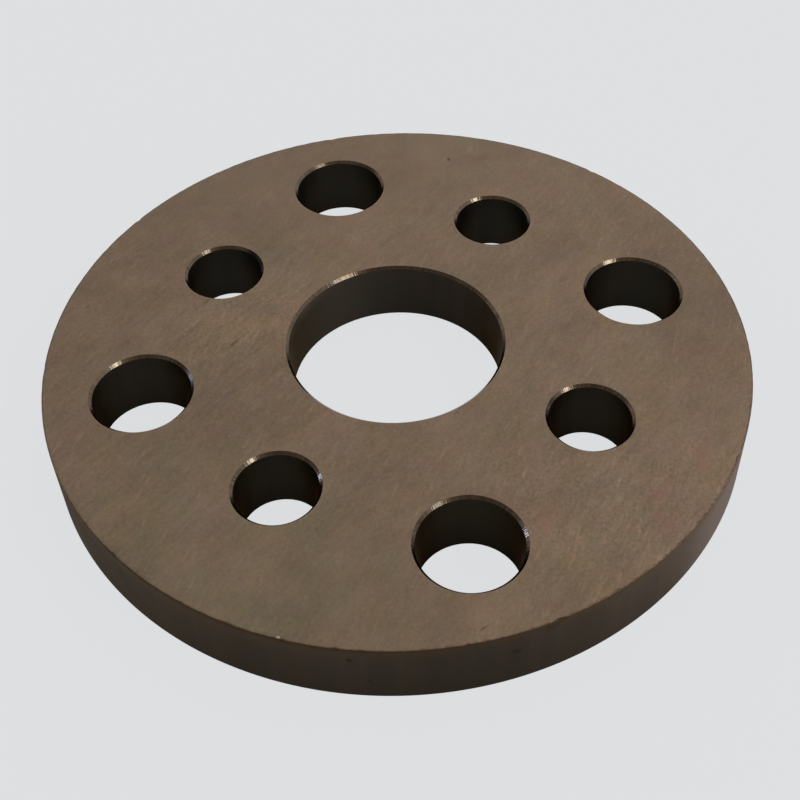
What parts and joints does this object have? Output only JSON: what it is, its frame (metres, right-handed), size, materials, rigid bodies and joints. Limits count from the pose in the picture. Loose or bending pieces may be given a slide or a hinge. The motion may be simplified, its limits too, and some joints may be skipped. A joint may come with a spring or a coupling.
{
  "type": "clamping plate",
  "caption": "Flat round steel clamping plate with a plain central bore and two rings of alternating large and small bolt holes, all lightly chamfered.",
  "frame": {"origin": "centre of the plate's back face, on the axis of the bore, so the plate lies on Z = 0", "axes": "+Z along the bore, from the back face towards the working face; the large bolt holes are on the X and Y axes and the small ones halfway between them"},
  "size_m": [0.127, 0.127, 0.0127],
  "materials": {
    "ground_steel": "surface ground with fine scratches, the rim and the walls of the holes turned and drilled"
  },
  "bodies": {
    "root": {"clamping_plate": "ground_steel"}
  },
  "joints": []
}
